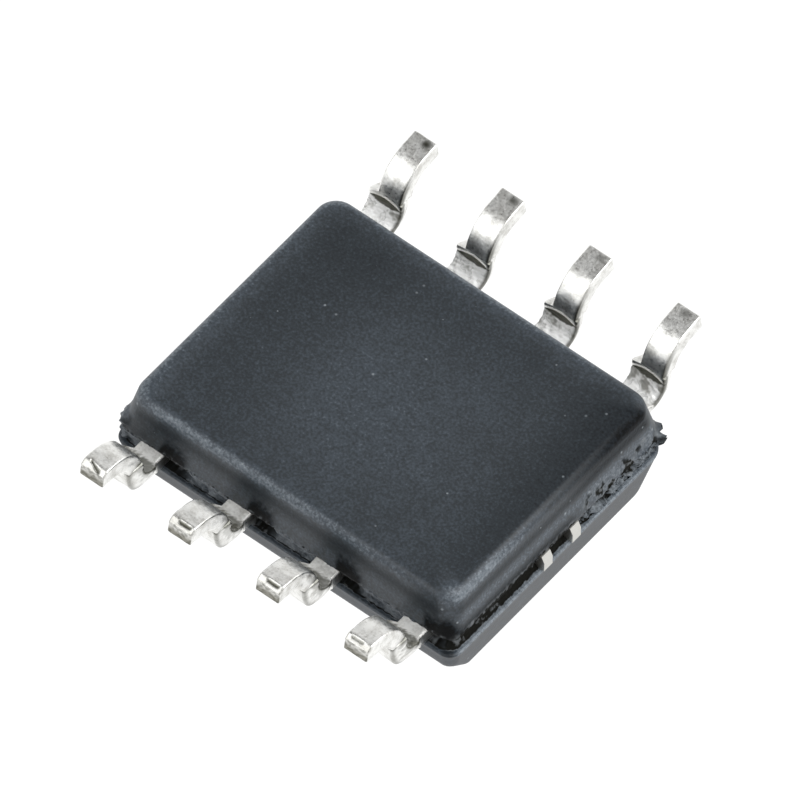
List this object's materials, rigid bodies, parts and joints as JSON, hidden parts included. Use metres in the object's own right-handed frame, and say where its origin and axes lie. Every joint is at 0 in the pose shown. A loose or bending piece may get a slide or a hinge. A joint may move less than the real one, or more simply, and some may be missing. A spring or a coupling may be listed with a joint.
{
  "type": "small-outline integrated circuit",
  "caption": "Moulded surface-mount integrated circuit with gull-wing leads along its long sides, lying upside down on its marked face.",
  "frame": {"origin": "under the middle of the package, on its marked face, which lies on the floor", "axes": "+Z from the marked face to the underside and the soldering faces of the feet, X along the rows of leads, Y across them; pins 1 to 4 on the -Y side from +X to -X. Turned 180 degrees about X it stands on its feet"},
  "size_m": [0.005, 0.006, 0.0016],
  "materials": {
    "mould_compound": "fine-grained moulded epoxy",
    "tin_plate": "matte tin plating",
    "leadframe_copper": "rolled copper alloy strip",
    "die_adhesive": "cured silver-filled adhesive",
    "silicon": "polished and passivated silicon",
    "gold_wire": "drawn gold wire"
  },
  "bodies": {
    "root": {"mould_body": "mould_compound", "lead_1": "tin_plate", "lead_2": "tin_plate", "lead_3": "tin_plate", "lead_4": "tin_plate", "lead_5": "tin_plate", "lead_6": "tin_plate", "lead_7": "tin_plate", "lead_8": "tin_plate", "die_paddle": "leadframe_copper", "die_attach": "die_adhesive", "silicon_die": "silicon", "bond_wire_1": "gold_wire", "bond_wire_2": "gold_wire", "bond_wire_3": "gold_wire", "bond_wire_4": "gold_wire", "bond_wire_5": "gold_wire", "bond_wire_6": "gold_wire", "bond_wire_7": "gold_wire", "bond_wire_8": "gold_wire"}
  },
  "joints": []
}
